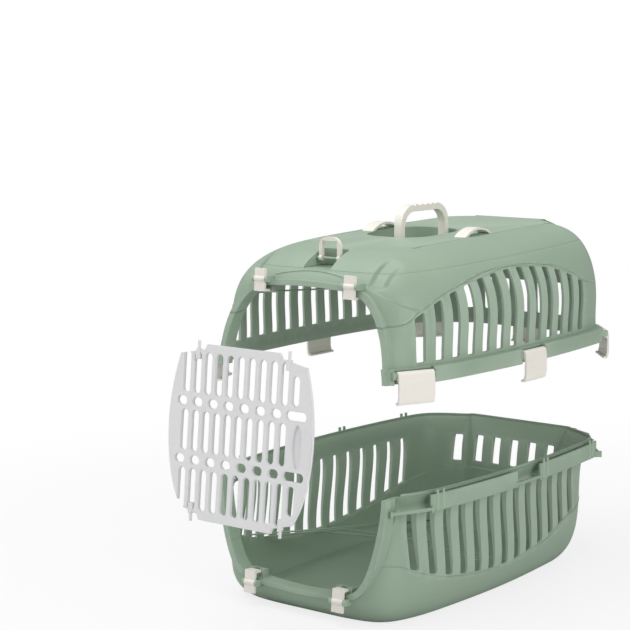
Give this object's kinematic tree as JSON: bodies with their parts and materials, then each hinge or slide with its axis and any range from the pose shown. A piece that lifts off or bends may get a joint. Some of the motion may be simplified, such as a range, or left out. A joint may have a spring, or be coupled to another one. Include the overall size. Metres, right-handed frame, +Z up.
{
  "type": "pet carrier",
  "caption": "Moulded plastic pet carrier in two halves, with slotted walls, a lift-off grid door, side clips, door levers, a folding handle and a front ring, shown open.",
  "frame": {"origin": "middle of the base's underside, on the floor", "axes": "+Z up, the door faces -Y, +X is the carrier's right as seen from the rear"},
  "size_m": [0.3216, 0.6034, 0.449],
  "materials": {
    "base_green": "satin grained polypropylene",
    "lid_green": "satin grained polypropylene",
    "door_white": "smooth moulded plastic",
    "door_pin_white": "smooth moulded plastic",
    "ivory": "smooth ivory plastic",
    "pin": "moulded pins"
  },
  "bodies": {
    "base": {"base_shell": "base_green", "lever_pins_base": "pin"},
    "lid": {"lid_shell": "lid_green", "lever_pins_lid": "pin", "ring_pin": "pin", "belt_guide_left": "ivory", "belt_guide_right": "ivory"},
    "door_hinge_pins": {"door_pins_left": "door_pin_white"},
    "door": {"door_grid": "door_white", "door_pins_right": "door_pin_white"},
    "handle": {"handle": "ivory", "handle_pins": "pin"},
    "ring": {"front_ring": "ivory"},
    "clip_front_right": {"clip_front_right": "ivory"},
    "clip_mid_right": {"clip_mid_right": "ivory"},
    "clip_rear_right": {"clip_rear_right": "ivory"},
    "clip_back": {"clip_back": "ivory"},
    "clip_front_left": {"clip_front_left": "ivory"},
    "clip_mid_left": {"clip_mid_left": "ivory"},
    "clip_rear_left": {"clip_rear_left": "ivory"},
    "lever_base_left": {"lever_base_left": "ivory"},
    "lever_lid_left": {"lever_lid_left": "ivory"},
    "lever_base_right": {"lever_base_right": "ivory"},
    "lever_lid_right": {"lever_lid_right": "ivory"}
  },
  "joints": [
    {"name": "lid_lift", "type": "slide", "parent": "base", "child": "lid", "axis": [0, 0, 1], "range_m": [-0.126, 0]},
    {"name": "door_draw", "type": "slide", "parent": "base", "child": "door_hinge_pins", "axis": [0, -0.8271, 0.562], "range_m": [-0.14145, 0]},
    {"name": "door_swing", "type": "hinge", "parent": "door_hinge_pins", "child": "door", "pos_m": [-0.063, -0.341, 0.218], "axis": [0, -0.0924, -0.9957], "range_deg": [0, 110]},
    {"name": "handle_fold", "type": "hinge", "parent": "lid", "child": "handle", "pos_m": [0, 0, 0.399], "axis": [0, -1, 0], "range_deg": [0, 88]},
    {"name": "ring_fold", "type": "hinge", "parent": "lid", "child": "ring", "pos_m": [0, -0.18, 0.398], "axis": [1, 0, 0], "range_deg": [0, 80]},
    {"name": "clip_front_right_swing", "type": "hinge", "parent": "lid", "child": "clip_front_right", "pos_m": [0.13505, -0.207, 0.283], "axis": [-0.3848, -0.923, 0], "range_deg": [0, 100]},
    {"name": "clip_mid_right_swing", "type": "hinge", "parent": "lid", "child": "clip_mid_right", "pos_m": [0.15527, 0.00403, 0.283], "axis": [0.0056, -1, 0], "range_deg": [0, 100]},
    {"name": "clip_rear_right_swing", "type": "hinge", "parent": "lid", "child": "clip_rear_right", "pos_m": [0.13047, 0.20944, 0.283], "axis": [0.6616, -0.7498, 0], "range_deg": [0, 100]},
    {"name": "clip_back_swing", "type": "hinge", "parent": "lid", "child": "clip_back", "pos_m": [0, 0.2452, 0.283], "axis": [1, 0, 0], "range_deg": [0, 100]},
    {"name": "clip_front_left_swing", "type": "hinge", "parent": "lid", "child": "clip_front_left", "pos_m": [-0.13505, -0.207, 0.283], "axis": [-0.3848, 0.923, 0], "range_deg": [0, 100]},
    {"name": "clip_mid_left_swing", "type": "hinge", "parent": "lid", "child": "clip_mid_left", "pos_m": [-0.15527, 0.00403, 0.283], "axis": [0.0056, 1, 0], "range_deg": [0, 100]},
    {"name": "clip_rear_left_swing", "type": "hinge", "parent": "lid", "child": "clip_rear_left", "pos_m": [-0.13047, 0.20944, 0.283], "axis": [0.6616, 0.7498, 0], "range_deg": [0, 100]},
    {"name": "lever_base_left_rock", "type": "hinge", "parent": "base", "child": "lever_base_left", "pos_m": [-0.063, -0.24842, 0.02678], "axis": [1, 0, 0], "range_deg": [0, 25]},
    {"name": "lever_lid_left_rock", "type": "hinge", "parent": "lid", "child": "lever_lid_left", "pos_m": [-0.063, -0.22783, 0.37483], "axis": [-1, 0, 0], "range_deg": [0, 25]},
    {"name": "lever_base_right_rock", "type": "hinge", "parent": "base", "child": "lever_base_right", "pos_m": [0.063, -0.24842, 0.02678], "axis": [1, 0, 0], "range_deg": [0, 25]},
    {"name": "lever_lid_right_rock", "type": "hinge", "parent": "lid", "child": "lever_lid_right", "pos_m": [0.063, -0.22783, 0.37483], "axis": [-1, 0, 0], "range_deg": [0, 25]}
  ]
}
